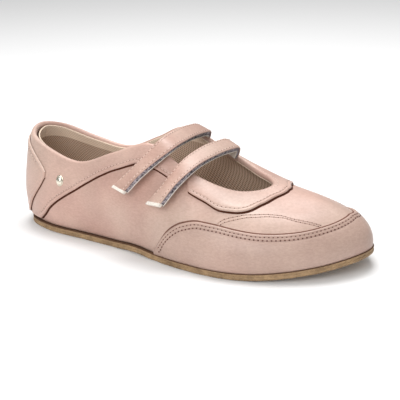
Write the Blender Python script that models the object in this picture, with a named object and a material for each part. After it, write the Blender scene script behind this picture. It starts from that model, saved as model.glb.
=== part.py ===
"""A right-foot flat shoe: a satin upper on a thin gum sole, closed over the instep by two straps.

Metres, +Z up, +X towards the toe, +Y towards the medial (inner) side. The shoe stands on its sole, and the
origin is under the middle of its bounding box.

The upper is a ring-shaped wall between the feather line, where it meets the sole, and the topline round
the collar and throat. A point on it has two coordinates: station, which counts the rows of SECTIONS round
the shoe from the heel over the lateral side, and rise, which goes from 0 at the feather line to 1 at the
topline.
"""

import bmesh
import bpy
import numpy as np
from mathutils import Matrix, Vector

# Driving sizes of the last
LAST_LENGTH = 0.250
BALL_WIDTH = 0.084
HEEL_TOP = 0.063
INSTEP_TOP = 0.068
TOE_SPRING = 0.010
ARCH_LIFT = 0.0010

# Thicknesses and clearances
SOLE_THICKNESS = 0.0042
SOLE_MARGIN = 0.0020
SOLE_EDGE_BEVEL = 0.0006
SOLE_GROOVE = 0.0004
WALL = 0.0018
OVERLAY = 0.0010
GAP = 0.0003
OVERLAY_GAP = 0.0004
COUNTER_GAP = 0.0006
INSOLE_THICKNESS = 0.0030
INSOLE_INSET = 0.0024

# Straps
STRAP_WIDTH = 0.0105
STRAP_THICKNESS = 0.0024
STRAP_ROLL = np.radians(45)
STRAP_ROLL_ENDS = 0.60
STRAP_ARCH = 0.0020
STRAP_BEND = 0.0024
STRAP_END_GAP = 0.0006
STRAP_EDGE_BEVEL = 0.0005
REAR_STRAP_LIES = 0.0056
REAR_STRAP_STANDS = 0.0044
FRONT_STRAP_LIES = 0.0056
FRONT_STRAP_STANDS = 0.0084

# Stud on the lateral quarter
STUD_WIDTH = 0.0050
STUD_HEIGHT = 0.0062
STUD_DOME = 0.0018

# Mesh fineness
COLUMNS_PER_SECTION = 4
GUARD_ROWS = 5
SIDE_ROWS = 2
COLLAR_ROWS = 6
COUNTER_ROWS = 8
STRAP_STEPS = 36

# The last's sections, round the shoe from the heel over the lateral side, the toe and the medial side.
# x is a share of LAST_LENGTH from the heel, y and out are shares of BALL_WIDTH, up is a share of HEEL_TOP,
# and top_z is a share of the named height. low and high are the control points that give the wall its bulge.
SECTIONS = (
    # name, sole_x, sole_y, low_out, low_up, high_out, high_up, lead, top_x, top_y, top_z, height
    ("heel_back", 0.034, 0.000, 0.065, 0.127, 0.024, 0.51, 0.056, 0.038, 0.000, 1.000, "heel"),
    ("heel_corner_lateral", 0.064, -0.226, 0.065, 0.127, 0.024, 0.51, 0.056, 0.067, -0.196, 0.952, "heel"),
    ("heel_lateral", 0.152, -0.339, 0.059, 0.143, 0.030, 0.48, 0.048, 0.154, -0.298, 0.857, "heel"),
    ("quarter_lateral", 0.264, -0.363, 0.053, 0.143, 0.048, 0.44, 0.040, 0.256, -0.339, 0.802, "heel"),
    ("waist_lateral", 0.380, -0.393, 0.053, 0.159, 0.036, 0.49, 0.056, 0.360, -0.339, 0.882, "instep"),
    ("instep_lateral", 0.488, -0.458, 0.053, 0.175, -0.012, 0.54, 0.064, 0.458, -0.298, 1.000, "instep"),
    ("ball_back_lateral", 0.592, -0.513, 0.053, 0.190, -0.036, 0.51, 0.064, 0.532, -0.268, 0.838, "instep"),
    ("ball_lateral", 0.696, -0.518, 0.051, 0.190, -0.060, 0.48, 0.072, 0.600, -0.244, 0.713, "instep"),
    ("toe_back_lateral", 0.805, -0.429, 0.051, 0.190, -0.083, 0.44, 0.080, 0.664, -0.185, 0.632, "instep"),
    ("toe_lateral", 0.911, -0.202, 0.030, 0.206, -0.095, 0.40, 0.096, 0.708, -0.083, 0.618, "instep"),
    ("toe_tip", 0.966, 0.107, 0.014, 0.206, -0.095, 0.37, 0.112, 0.728, 0.036, 0.640, "instep"),
    ("toe_medial", 0.926, 0.339, 0.020, 0.206, -0.095, 0.38, 0.096, 0.704, 0.143, 0.647, "instep"),
    ("toe_back_medial", 0.842, 0.446, 0.036, 0.190, -0.083, 0.41, 0.080, 0.652, 0.214, 0.676, "instep"),
    ("ball_medial", 0.736, 0.476, 0.036, 0.190, -0.060, 0.48, 0.072, 0.584, 0.256, 0.765, "instep"),
    ("ball_back_medial", 0.616, 0.429, 0.048, 0.190, -0.036, 0.54, 0.064, 0.508, 0.280, 0.882, "instep"),
    ("instep_medial", 0.496, 0.333, 0.059, 0.175, 0.024, 0.57, 0.064, 0.424, 0.298, 0.963, "instep"),
    ("waist_medial", 0.380, 0.292, 0.071, 0.175, 0.060, 0.51, 0.056, 0.344, 0.315, 0.831, "instep"),
    ("quarter_medial", 0.264, 0.310, 0.059, 0.159, 0.060, 0.43, 0.040, 0.248, 0.321, 0.746, "heel"),
    ("heel_medial", 0.152, 0.333, 0.065, 0.143, 0.030, 0.44, 0.048, 0.152, 0.298, 0.802, "heel"),
    ("heel_corner_medial", 0.064, 0.226, 0.065, 0.127, 0.024, 0.51, 0.056, 0.067, 0.196, 0.937, "heel"),
)
STATIONS = len(SECTIONS)
TOE = 10.0

# Edges of the panels as the rise at a number of stations from the toe tip, alike on both sides.
GUARD_EDGE = (
    # from_toe, rise
    (0.0, 0.450), (0.8, 0.408), (1.3, 0.400), (2.1, 0.425), (2.6, 0.450), (3.1, 0.469), (3.5, 0.463),
    (4.0, 0.400), (4.25, 0.338), (4.5, 0.244), (4.7, 0.138), (4.9, 0.050), (5.6, 0.250), (7.0, 0.250),
    (10.0, 0.250),
)
COLLAR_EDGE = (
    # from_toe, rise
    (0.0, 0.900), (0.8, 0.875), (1.6, 0.794), (2.2, 0.688), (2.5, 0.656), (2.9, 0.644), (3.3, 0.694),
    (3.75, 0.725), (4.0, 0.772), (4.4, 0.769), (4.85, 0.778), (5.4, 0.812), (5.9, 0.806), (6.4, 0.763),
    (6.8, 0.680), (7.2, 0.550), (7.6, 0.400), (7.9, 0.275), (8.2, 0.130), (8.45, 0.050), (10.0, 0.050),
)
GUARD_SHARE_OF_COLLAR = 0.6
GUARD_END = 4.8
THROAT_END = 3.8
COLLAR_END = 4.0
LOWEST_RISE = 0.02

# The heel counter's lower and upper edge as the rise at a number of stations from the heel seam
COUNTER_EDGES = (
    # from_seam, low, high
    (0.0, 0.080, 0.930), (0.6, 0.080, 0.915), (1.0, 0.090, 0.885), (1.2, 0.180, 0.862), (1.4, 0.275, 0.825),
    (1.6, 0.375, 0.782), (1.8, 0.490, 0.725), (1.94, 0.600, 0.670),
)

# Where each strap lies: the places of its lateral part, as station, rise and lift in shares of STRAP_WIDTH, its
# two crossings of the topline, how far it lies above the lateral topline, and how far it stands above the
# medial one before it turns down to its seam there
STRAP_ROUTES = {
    "strap_rear": {
        "lateral": ((4.34, 0.590, 0.60), (4.67, 0.690, 0.57), (4.95, 0.783, 0.53)),
        "crossings": (5.45, 14.25),
        "lies": REAR_STRAP_LIES,
        "stands": REAR_STRAP_STANDS,
    },
    "strap_front": {
        "lateral": ((5.36, 0.500, 0.60), (5.59, 0.616, 0.57), (5.76, 0.718, 0.53)),
        "crossings": (6.35, 13.12),
        "lies": FRONT_STRAP_LIES,
        "stands": FRONT_STRAP_STANDS,
    },
}
STUD_PLACE = (2.44, 0.64)

# Finishes
SATIN = ("satin", (0.66, 0.45, 0.39), 0.38, 0.0)
SATIN_EDGE = ("satin_overlay", (0.68, 0.47, 0.41), 0.38, 0.0)
STRAP_FINISH = ("satin_strap", (0.66, 0.46, 0.40), 0.42, 0.0)
GUM = ("gum_rubber", (0.36, 0.22, 0.11), 0.65, 0.0)
LINING = ("lining", (0.40, 0.28, 0.20), 0.90, 0.0)
METAL = ("stud_metal", (0.83, 0.80, 0.70), 0.22, 1.0)


def clear_scene():
    for thing in list(bpy.data.objects):
        bpy.data.objects.remove(thing, do_unlink=True)


def section_values():
    """The table of sections in metres, one row a station."""
    heights = {"heel": HEEL_TOP, "instep": INSTEP_TOP}
    rows = []
    for row in SECTIONS:
        sole_x, sole_y, low_out, low_up, high_out, high_up, lead, top_x, top_y, top_z = row[1:11]
        rows.append((
            sole_x * LAST_LENGTH,
            sole_y * BALL_WIDTH,
            low_out * BALL_WIDTH,
            low_up * HEEL_TOP,
            high_out * BALL_WIDTH,
            high_up * HEEL_TOP,
            lead * LAST_LENGTH,
            top_x * LAST_LENGTH,
            top_y * BALL_WIDTH,
            top_z * heights[row[11]],
        ))
    return np.array(rows)


LAST = section_values()
SPRING_START = 0.70 * LAST_LENGTH
ARCH_START = 0.36 * LAST_LENGTH
ARCH_END = 0.52 * LAST_LENGTH


def round_the_last(station):
    """All columns of the last at a station, on a smooth closed curve through the sections."""
    place = np.asarray(station, float)
    whole = np.floor(place).astype(int)
    part = (place - whole)[..., None]
    a, b, c, d = (LAST[(whole + k) % STATIONS] for k in (-1, 0, 1, 2))
    return 0.5 * (
        2 * b + (c - a) * part + (2 * a - 5 * b + 4 * c - d) * part**2 + (3 * b - a - 3 * c + d) * part**3
    )


def hermite(x, y, slope, places):
    """A smooth curve through points with a given slope at each, read at places."""
    places = np.clip(np.asarray(places, float), x[0], x[-1])
    i = np.clip(np.searchsorted(x, places) - 1, 0, len(x) - 2)
    width = x[i + 1] - x[i]
    t = (places - x[i]) / width
    return (
        (2 * t**3 - 3 * t**2 + 1) * y[i]
        + (t**3 - 2 * t**2 + t) * width * slope[i]
        + (3 * t**2 - 2 * t**3) * y[i + 1]
        + (t**3 - t**2) * width * slope[i + 1]
    )


def table_curve(table, places):
    """A smooth curve through a table's two columns that never swings past its points."""
    x, y = np.array(table, float).T
    rise = np.diff(y) / np.diff(x)
    product = rise[:-1] * rise[1:]
    total = np.where(product > 0, rise[:-1] + rise[1:], 1.0)
    middle = np.where(product > 0, 2 * product / total, 0.0)
    slope = np.concatenate([[rise[0]], middle, [rise[-1]]])
    return hermite(x, y, slope, places)


def ground_curve(x):
    """Height of the sole's underside: flat at heel and ball, a low arch between, and the toe spring."""
    toe = np.clip((x - SPRING_START) / (LAST_LENGTH - SPRING_START), 0, 1.1)
    arch = np.clip((x - ARCH_START) / (ARCH_END - ARCH_START), 0, 1)
    return TOE_SPRING * toe**1.8 + ARCH_LIFT * np.sin(np.pi * arch) ** 2


def sole_top(x):
    return ground_curve(x) + SOLE_THICKNESS


def feather_line(station, outset=0.0):
    """Points where the upper meets the sole, moved outwards in plan by outset, and the plan normals."""
    values = round_the_last(station)
    step = 0.02
    ahead, behind = round_the_last(station + step), round_the_last(station - step)
    along = ahead[..., :2] - behind[..., :2]
    along /= np.linalg.norm(along, axis=-1, keepdims=True)
    normal = np.stack([along[..., 1], -along[..., 0], np.zeros(along.shape[:-1])], -1)
    height = sole_top(values[..., 0]) + GAP
    points = np.stack([values[..., 0], values[..., 1], height], -1)
    return points + normal * outset, normal


def wall_point(station, rise):
    """A point of the upper's outer surface: a quartic curve from the feather line to the topline."""
    station, rise = np.broadcast_arrays(np.asarray(station, float), np.asarray(rise, float))
    values = round_the_last(station)
    foot, normal = feather_line(station)
    up = np.array([0.0, 0.0, 1.0])
    low_out, low_up, high_out, high_up, lead = (values[..., k, None] for k in range(2, 7))
    low = foot + normal * low_out + up * low_up
    high = foot + normal * high_out + up * high_up
    top = values[..., 7:10]
    slope = top - high
    slope = slope / np.linalg.norm(slope, axis=-1, keepdims=True)
    before_top = top - slope * lead
    t = rise[..., None]
    s = 1 - t
    return s**4 * foot + 4 * s**3 * t * low + 6 * s**2 * t**2 * high + 4 * s * t**3 * before_top + t**4 * top


def wall_normal(station, rise):
    step = 0.01
    along = wall_point(station + step, rise) - wall_point(station - step, rise)
    up = wall_point(station, rise + step) - wall_point(station, rise - step)
    normal = np.cross(along, up)
    return normal / np.linalg.norm(normal, axis=-1, keepdims=True)


def skin(station, rise, lift):
    """A point lifted off the upper's outer surface, or sunk into it, and never into the sole."""
    point = wall_point(station, rise) + wall_normal(station, rise) * np.asarray(lift)[..., None]
    point[..., 2] = np.maximum(point[..., 2], sole_top(point[..., 0]) + GAP)
    return point


def collar_edge(station):
    return table_curve(COLLAR_EDGE, np.abs((station % STATIONS) - TOE))


def guard_edge(station):
    guard = table_curve(GUARD_EDGE, np.abs((station % STATIONS) - TOE))
    return np.minimum(guard, collar_edge(station) * GUARD_SHARE_OF_COLLAR)


def rises_between(low, high, rows):
    """Rows of rises from one edge to another, one column a station."""
    share = np.linspace(0, 1, rows + 1)
    return low[:, None] * (1 - share) + high[:, None] * share


def new_object(name, bm, finish):
    bmesh.ops.recalc_face_normals(bm, faces=bm.faces)
    mesh = bpy.data.meshes.new(name)
    bm.to_mesh(mesh)
    bm.free()
    mesh.shade_smooth()
    mesh.set_sharp_from_angle(angle=np.radians(40))
    thing = bpy.data.objects.new(name, mesh)
    bpy.context.scene.collection.objects.link(thing)
    label, colour, roughness, metallic = finish
    material = bpy.data.materials.get(label) or bpy.data.materials.new(label)
    material.use_nodes = True
    shader = material.node_tree.nodes["Principled BSDF"]
    shader.inputs["Base Color"].default_value = (*colour, 1.0)
    shader.inputs["Roughness"].default_value = roughness
    shader.inputs["Metallic"].default_value = metallic
    mesh.materials.append(material)
    return thing


def split_quad(bm, corners, rising):
    """Two triangles, cut along the diagonal that suits rows that climb towards the toe or the heel."""
    a, b, c, d = corners
    halves = ((a, b, d), (b, c, d)) if rising else ((a, b, c), (a, c, d))
    for half in halves:
        bm.faces.new(half)


def wall_solid(name, station, outer, inner, ring, finish):
    """A closed wall between two grids of points, columns by rows, going right round or with two ends."""
    bm = bmesh.new()
    columns, rows = outer.shape[:2]
    outside = [[bm.verts.new(p) for p in column] for column in outer]
    inside = [[bm.verts.new(p) for p in column] for column in inner]
    last = columns if ring else columns - 1
    for i in range(last):
        j = (i + 1) % columns
        rising = station[i] % STATIONS < TOE
        for k in range(rows - 1):
            for grid in (outside, inside):
                split_quad(bm, (grid[i][k], grid[j][k], grid[j][k + 1], grid[i][k + 1]), rising)
        bm.faces.new((outside[i][0], inside[i][0], inside[j][0], outside[j][0]))
        bm.faces.new((outside[i][-1], outside[j][-1], inside[j][-1], inside[i][-1]))
    if not ring:
        for i in (0, columns - 1):
            for k in range(rows - 1):
                bm.faces.new((outside[i][k], outside[i][k + 1], inside[i][k + 1], inside[i][k]))
    return new_object(name, bm, finish)


def slab_solid(name, loops, finish):
    """A closed slab from loops of points that follow its side from top to bottom, capped across the shoe."""
    bm = bmesh.new()
    rings = [[bm.verts.new(p) for p in loop] for loop in loops]
    count = len(rings[0])
    for upper_ring, lower_ring in zip(rings, rings[1:]):
        for i in range(count):
            j = (i + 1) % count
            bm.faces.new((upper_ring[i], upper_ring[j], lower_ring[j], lower_ring[i]))
    for ring in (rings[0], rings[-1]):
        for i in range(count // 2):
            rung = [ring[i], ring[i + 1], ring[-i - 1], ring[-i % count]]
            bm.faces.new(list(dict.fromkeys(rung)))
    return new_object(name, bm, finish)


def column_stations(first, last):
    """Stations of the shared mesh columns from first to last, both included."""
    count = round((last - first) * COLUMNS_PER_SECTION)
    return first + np.arange(count + 1) / COLUMNS_PER_SECTION


def make_outsole():
    station = column_stations(0, STATIONS)[:-1]
    bevel = SOLE_EDGE_BEVEL
    # out from the feather line, and down from the sole's top
    profile = (
        (SOLE_MARGIN - bevel, 0.0),
        (SOLE_MARGIN, bevel),
        (SOLE_MARGIN, SOLE_THICKNESS * 0.36),
        (SOLE_MARGIN - SOLE_GROOVE, SOLE_THICKNESS * 0.48),
        (SOLE_MARGIN, SOLE_THICKNESS * 0.60),
        (SOLE_MARGIN, SOLE_THICKNESS - bevel),
        (SOLE_MARGIN - bevel, SOLE_THICKNESS),
    )
    loops = []
    for outset, down in profile:
        points, _ = feather_line(station, outset)
        points[:, 2] = sole_top(points[:, 0]) - down
        loops.append(points)
    return slab_solid("outsole", loops, GUM)


def make_insole():
    station = column_stations(0, STATIONS)[:-1]
    loops = []
    for rise in (INSOLE_THICKNESS, 0.0):
        points, _ = feather_line(station, -INSOLE_INSET)
        points[:, 2] = sole_top(points[:, 0]) + GAP + rise
        loops.append(points)
    return slab_solid("insole", loops, LINING)


def panel_solid(name, station, rise, lift):
    """A panel of the overlay's thickness that lies on the wall, its inner face lifted off it."""
    across = station[:, None] + np.zeros_like(rise)
    inner = skin(across, rise, np.full_like(rise, lift))
    outer = skin(across, rise, np.full_like(rise, lift + OVERLAY))
    return wall_solid(name, station, outer, inner, False, SATIN_EDGE)


def make_upper():
    """The whole lasted wall, whose rows follow the edges of the panels that lie on it."""
    station = column_stations(0, STATIONS)[:-1]
    guard, collar = guard_edge(station), collar_edge(station)
    rise = np.concatenate([
        rises_between(np.zeros_like(guard), guard, GUARD_ROWS)[:, :-1],
        rises_between(guard, collar, SIDE_ROWS)[:, :-1],
        rises_between(collar, np.ones_like(collar), COLLAR_ROWS),
    ], axis=1)
    across = station[:, None] + np.zeros_like(rise)
    outer = skin(across, rise, np.zeros_like(rise))
    inner = skin(across, rise, np.full_like(rise, -WALL))
    return wall_solid("upper", station, outer, inner, True, SATIN)


def make_toe_guard():
    station = column_stations(TOE - GUARD_END, TOE + GUARD_END)
    rise = rises_between(np.zeros_like(station), guard_edge(station), GUARD_ROWS)
    rise[:, 0] = LOWEST_RISE
    return panel_solid("toe_guard", station, rise, OVERLAY_GAP)


def make_collar_band(name, first, last):
    station = column_stations(first, last)
    rise = rises_between(collar_edge(station), np.ones_like(station), COLLAR_ROWS)
    return panel_solid(name, station, rise, OVERLAY_GAP)


def make_heel_counter():
    """The counter over the back seam, on top of the quarter band."""
    reach = COUNTER_EDGES[-1][0]
    inner_reach = np.floor(reach * COLUMNS_PER_SECTION) / COLUMNS_PER_SECTION
    station = column_stations(-inner_reach, inner_reach)
    station = np.concatenate([[-reach], station, [reach]])
    low = table_curve([(row[0], row[1]) for row in COUNTER_EDGES], np.abs(station))
    high = table_curve([(row[0], row[2]) for row in COUNTER_EDGES], np.abs(station))
    rise = rises_between(low, high, COUNTER_ROWS)
    return panel_solid("heel_counter", station, rise, OVERLAY_GAP + OVERLAY + COUNTER_GAP)


def topline_axes(station):
    """At the topline: the directions out of the wall, out of its rim, and up, all square to the topline."""
    top = np.array(1.0)
    outward = wall_normal(station, top)
    along = wall_point(station + 0.01, top) - wall_point(station - 0.01, top)
    along /= np.linalg.norm(along)
    off_rim = np.cross(outward, along)
    upright = np.array([0.0, 0.0, 1.0]) - along * along[2]
    return outward, off_rim, upright / np.linalg.norm(upright)


def strap_route(route):
    """The strap's middle line, point by point, with a direction square to its width."""
    points, facing = [], []
    for place in route["lateral"]:
        station, rise, lift = (np.array(value) for value in place)
        points.append(skin(station, rise, lift * STRAP_WIDTH))
        facing.append(wall_normal(station, rise))
    up = np.array([0.0, 0.0, 1.0])
    near, far = (wall_point(np.array(station), np.array(1.0)) for station in route["crossings"])
    near_axes, far_axes = (topline_axes(np.array(station)) for station in route["crossings"])
    seam = far + far_axes[1] * (STRAP_THICKNESS / 2 + STRAP_END_GAP)
    reach = (far - near) * np.array([1.0, 1.0, 0.0])
    reach /= np.linalg.norm(reach)
    near_tilt = near_axes[0] + near_axes[2]
    near_tilt /= np.linalg.norm(near_tilt)
    start = near + near_tilt * route["lies"]
    stop = seam + far_axes[2] * route["stands"] - reach * STRAP_BEND
    for share in (0.0, 0.25, 0.5, 0.75, 1.0):
        points.append(start * (1 - share) + stop * share + up * STRAP_ARCH * 4 * share * (1 - share))
        tilt = near_tilt * (1 - share) + far_axes[2] * share
        facing.append(tilt / np.linalg.norm(tilt))
    down = far_axes[2] * STRAP_BEND
    points.append(stop + reach * STRAP_BEND * 0.7 - down * 0.3)
    facing.append(far_axes[2] + reach)
    points.append(stop + reach * STRAP_BEND - down)
    facing.append(reach)
    points.append(seam)
    facing.append(reach)
    return np.array(points), np.array(facing)


def resample(points, facing, steps):
    """Even steps along a smooth curve through points, with the facing directions carried along."""
    gaps = np.linalg.norm(np.diff(points, axis=0), axis=1)
    length = np.concatenate([[0], np.cumsum(gaps)])
    places = np.linspace(0, length[-1], steps + 1)
    both = np.hstack([points, facing])
    slope = np.gradient(both, length, axis=0)
    values = np.stack([hermite(length, both[:, k], slope[:, k], places) for k in range(6)], -1)
    return values[:, :3], values[:, 3:]


def strap_frames(route, steps):
    """Places along the strap, and the directions of its width and its top, rolled off the wall at its end."""
    middle, facing = resample(*strap_route(route), steps)
    along = np.gradient(middle, axis=0)
    along /= np.linalg.norm(along, axis=1, keepdims=True)
    side = np.cross(facing, along)
    side /= np.linalg.norm(side, axis=1, keepdims=True)
    top = np.cross(along, side)
    share = np.linspace(0, 1, steps + 1)
    roll = STRAP_ROLL * np.clip(1 - share / STRAP_ROLL_ENDS, 0, 1)[:, None]
    return middle, side * np.cos(roll) - top * np.sin(roll), top * np.cos(roll) + side * np.sin(roll)


def make_strap(name, route):
    middle, side, top = strap_frames(route, STRAP_STEPS)
    half_width, half_thick, bevel = STRAP_WIDTH / 2, STRAP_THICKNESS / 2, STRAP_EDGE_BEVEL
    outline = (
        (-half_width, -half_thick), (half_width, -half_thick), (half_width, half_thick - bevel),
        (half_width - bevel, half_thick), (bevel - half_width, half_thick), (-half_width, half_thick - bevel),
    )
    bm = bmesh.new()
    rings = [
        [bm.verts.new(middle[i] + side[i] * across + top[i] * up) for across, up in outline]
        for i in range(len(middle))
    ]
    corners = len(outline)
    for ring, following in zip(rings, rings[1:]):
        for k in range(corners):
            n = (k + 1) % corners
            bm.faces.new((ring[k], ring[n], following[n], following[k]))
    bm.faces.new(rings[0])
    bm.faces.new(rings[-1])
    return new_object(name, bm, STRAP_FINISH)


def make_stud():
    """A plain oval dome, its flat back on the quarter band."""
    station, rise = (np.array(v) for v in STUD_PLACE)
    normal = Vector(wall_normal(station, rise))
    seat = Vector(skin(station, rise, np.array(OVERLAY_GAP + OVERLAY + GAP)))
    bm = bmesh.new()
    bmesh.ops.create_uvsphere(bm, u_segments=12, v_segments=8, radius=1.0)
    below = [v for v in bm.verts if v.co.z < -1e-4]
    bmesh.ops.delete(bm, geom=below, context="VERTS")
    rim = [e for e in bm.edges if e.is_boundary]
    bmesh.ops.contextual_create(bm, geom=rim)
    bmesh.ops.scale(bm, vec=(STUD_WIDTH / 2, STUD_HEIGHT / 2, STUD_DOME), verts=bm.verts)
    level = Vector((1, 0, 0))
    upward = normal.cross(level).normalized()
    turn = Matrix((upward.cross(normal), upward, normal)).transposed().to_4x4()
    bmesh.ops.transform(bm, matrix=Matrix.Translation(seat) @ turn, verts=bm.verts)
    return new_object("stud", bm, METAL)


def centre_on_footprint(things):
    """Puts the origin under the middle of the bounding box, on the floor."""
    corners = np.array([v.co for thing in things for v in thing.data.vertices])
    low, high = corners.min(0), corners.max(0)
    middle = (low + high) / 2
    for thing in things:
        thing.data.transform(Matrix.Translation((-middle[0], -middle[1], -low[2])))


def main():
    clear_scene()
    things = [
        make_outsole(),
        make_insole(),
        make_upper(),
        make_toe_guard(),
        make_collar_band("quarter_band", -(TOE - COLLAR_END), TOE - COLLAR_END),
        make_collar_band("throat_band", TOE - THROAT_END, TOE + THROAT_END),
        make_heel_counter(),
        make_stud(),
    ]
    things += [make_strap(name, route) for name, route in STRAP_ROUTES.items()]
    centre_on_footprint(things)


main()
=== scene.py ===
"""The looks of a dusty pink satin flat with hook-and-loop straps over the instep and a thin gum sole.

Metres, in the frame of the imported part: +X towards the toe, +Y towards the medial side, +Z up. Every cloth
panel is a grid laid on the last. A place on the last has a station, which counts the sections round the shoe
from the heel over the lateral side, and a rise, from 0 at the feather line to 1 at the topline.
"""

import math

import bpy
import numpy as np
from mathutils import Matrix, Vector


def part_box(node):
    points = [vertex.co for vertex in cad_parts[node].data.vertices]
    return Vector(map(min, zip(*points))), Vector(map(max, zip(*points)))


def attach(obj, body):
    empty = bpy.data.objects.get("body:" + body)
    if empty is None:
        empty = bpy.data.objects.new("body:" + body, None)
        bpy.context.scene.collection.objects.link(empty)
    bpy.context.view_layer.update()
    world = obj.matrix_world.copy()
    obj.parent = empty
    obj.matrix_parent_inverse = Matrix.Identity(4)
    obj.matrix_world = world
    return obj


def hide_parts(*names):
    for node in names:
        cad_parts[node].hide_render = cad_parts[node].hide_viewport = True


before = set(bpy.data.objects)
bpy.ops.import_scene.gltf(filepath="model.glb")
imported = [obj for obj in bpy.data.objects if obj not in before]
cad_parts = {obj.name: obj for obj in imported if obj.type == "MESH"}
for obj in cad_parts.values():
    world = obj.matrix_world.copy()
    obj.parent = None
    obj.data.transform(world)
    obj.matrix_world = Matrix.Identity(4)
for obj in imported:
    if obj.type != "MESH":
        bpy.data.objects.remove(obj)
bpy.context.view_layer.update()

MM = 0.001
UP = np.array([0.0, 0.0, 1.0])

# The last's driving sizes
LAST_LENGTH = 0.250
BALL_WIDTH = 0.084
HEEL_TOP = 0.063
INSTEP_TOP = 0.068
TOE_SPRING = 0.010
ARCH_LIFT = 0.0010
SOLE_THICKNESS = 0.0042
SOLE_MARGIN = 0.0020
SEAT_GAP = 0.0003

# Cloth thicknesses, how far each layer lies off the last, and about how far apart the stations are
WALL = 0.0018
SATIN_CLOTH = 0.0005
LINING_DEPTH = 0.0026
OVERLAY_LIFT = 0.0014
COUNTER_LIFT = 0.0027
INSIDE_FOLD = 0.0014
LINING_LEAN = 0.0022
LINING_RUMPLE = 0.0006
LINING_ROLL = 0.0005
LINING_CLOTH = 0.0004
SOCK_CLOTH = 0.0016
SOCK_HEIGHT = 0.0030
STATION_PITCH = 0.028
HEEL_STATION_PITCH = 0.020

# Stitches
STITCH_PITCH = 0.0025
STITCH_LENGTH = 0.0019
THREAD = 0.00022
NEEDLE_HOLE = 0.00034
THREAD_RISE = 0.00004
HOLE_RISE = 0.00002
HOLE_HEIGHT = 0.00012
STRAP_PITCH = 0.0026
STRAP_STITCH = 0.0017

# Straps: the unroll is the share of the roll that is taken back at the lateral end
STRAP_WIDTH = 0.0105
STRAP_THICKNESS = 0.0024
STRAP_ROLL = math.radians(45)
STRAP_ROLL_ENDS = 0.60
STRAP_END_UNROLL = 0.45
STRAP_ARCH = 0.0020
STRAP_BEND = 0.0024
STRAP_END_GAP = 0.0006
STRAP_END_DEPTH = 0.0022
STRAP_END_SLANT = 0.60
STRAP_CLOTH = (0.14, 0.03)
STRAP_STEPS = 150
UNROLL_FADE = 0.12
SLANT_FADE = 0.10
NO_FADE = 1e6
TAPE_WEDGE = 0.0014
TAB_LENGTH = 0.0025

# The last's sections: shares of LAST_LENGTH for x and lead, of BALL_WIDTH for y and out, of HEEL_TOP for up,
# and of the named height for top_z
SECTIONS = (
    # sole_x, sole_y, low_out, low_up, high_out, high_up, lead, top_x, top_y, top_z, height
    (0.034, 0.000, 0.065, 0.127, 0.024, 0.51, 0.056, 0.038, 0.000, 1.000, HEEL_TOP),
    (0.064, -0.226, 0.065, 0.127, 0.024, 0.51, 0.056, 0.067, -0.196, 0.952, HEEL_TOP),
    (0.152, -0.339, 0.059, 0.143, 0.030, 0.48, 0.048, 0.154, -0.298, 0.857, HEEL_TOP),
    (0.264, -0.363, 0.053, 0.143, 0.048, 0.44, 0.040, 0.256, -0.339, 0.802, HEEL_TOP),
    (0.380, -0.393, 0.053, 0.159, 0.036, 0.49, 0.056, 0.360, -0.339, 0.882, INSTEP_TOP),
    (0.488, -0.458, 0.053, 0.175, -0.012, 0.54, 0.064, 0.458, -0.298, 1.000, INSTEP_TOP),
    (0.592, -0.513, 0.053, 0.190, -0.036, 0.51, 0.064, 0.532, -0.268, 0.838, INSTEP_TOP),
    (0.696, -0.518, 0.051, 0.190, -0.060, 0.48, 0.072, 0.600, -0.244, 0.713, INSTEP_TOP),
    (0.805, -0.429, 0.051, 0.190, -0.083, 0.44, 0.080, 0.664, -0.185, 0.632, INSTEP_TOP),
    (0.911, -0.202, 0.030, 0.206, -0.095, 0.40, 0.096, 0.708, -0.083, 0.618, INSTEP_TOP),
    (0.966, 0.107, 0.014, 0.206, -0.095, 0.37, 0.112, 0.728, 0.036, 0.640, INSTEP_TOP),
    (0.926, 0.339, 0.020, 0.206, -0.095, 0.38, 0.096, 0.704, 0.143, 0.647, INSTEP_TOP),
    (0.842, 0.446, 0.036, 0.190, -0.083, 0.41, 0.080, 0.652, 0.214, 0.676, INSTEP_TOP),
    (0.736, 0.476, 0.036, 0.190, -0.060, 0.48, 0.072, 0.584, 0.256, 0.765, INSTEP_TOP),
    (0.616, 0.429, 0.048, 0.190, -0.036, 0.54, 0.064, 0.508, 0.280, 0.882, INSTEP_TOP),
    (0.496, 0.333, 0.059, 0.175, 0.024, 0.57, 0.064, 0.424, 0.298, 0.963, INSTEP_TOP),
    (0.380, 0.292, 0.071, 0.175, 0.060, 0.51, 0.056, 0.344, 0.315, 0.831, INSTEP_TOP),
    (0.264, 0.310, 0.059, 0.159, 0.060, 0.43, 0.040, 0.248, 0.321, 0.746, HEEL_TOP),
    (0.152, 0.333, 0.065, 0.143, 0.030, 0.44, 0.048, 0.152, 0.298, 0.802, HEEL_TOP),
    (0.064, 0.226, 0.065, 0.127, 0.024, 0.51, 0.056, 0.067, 0.196, 0.937, HEEL_TOP),
)
STATIONS = len(SECTIONS)
TOE = 10.0

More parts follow.
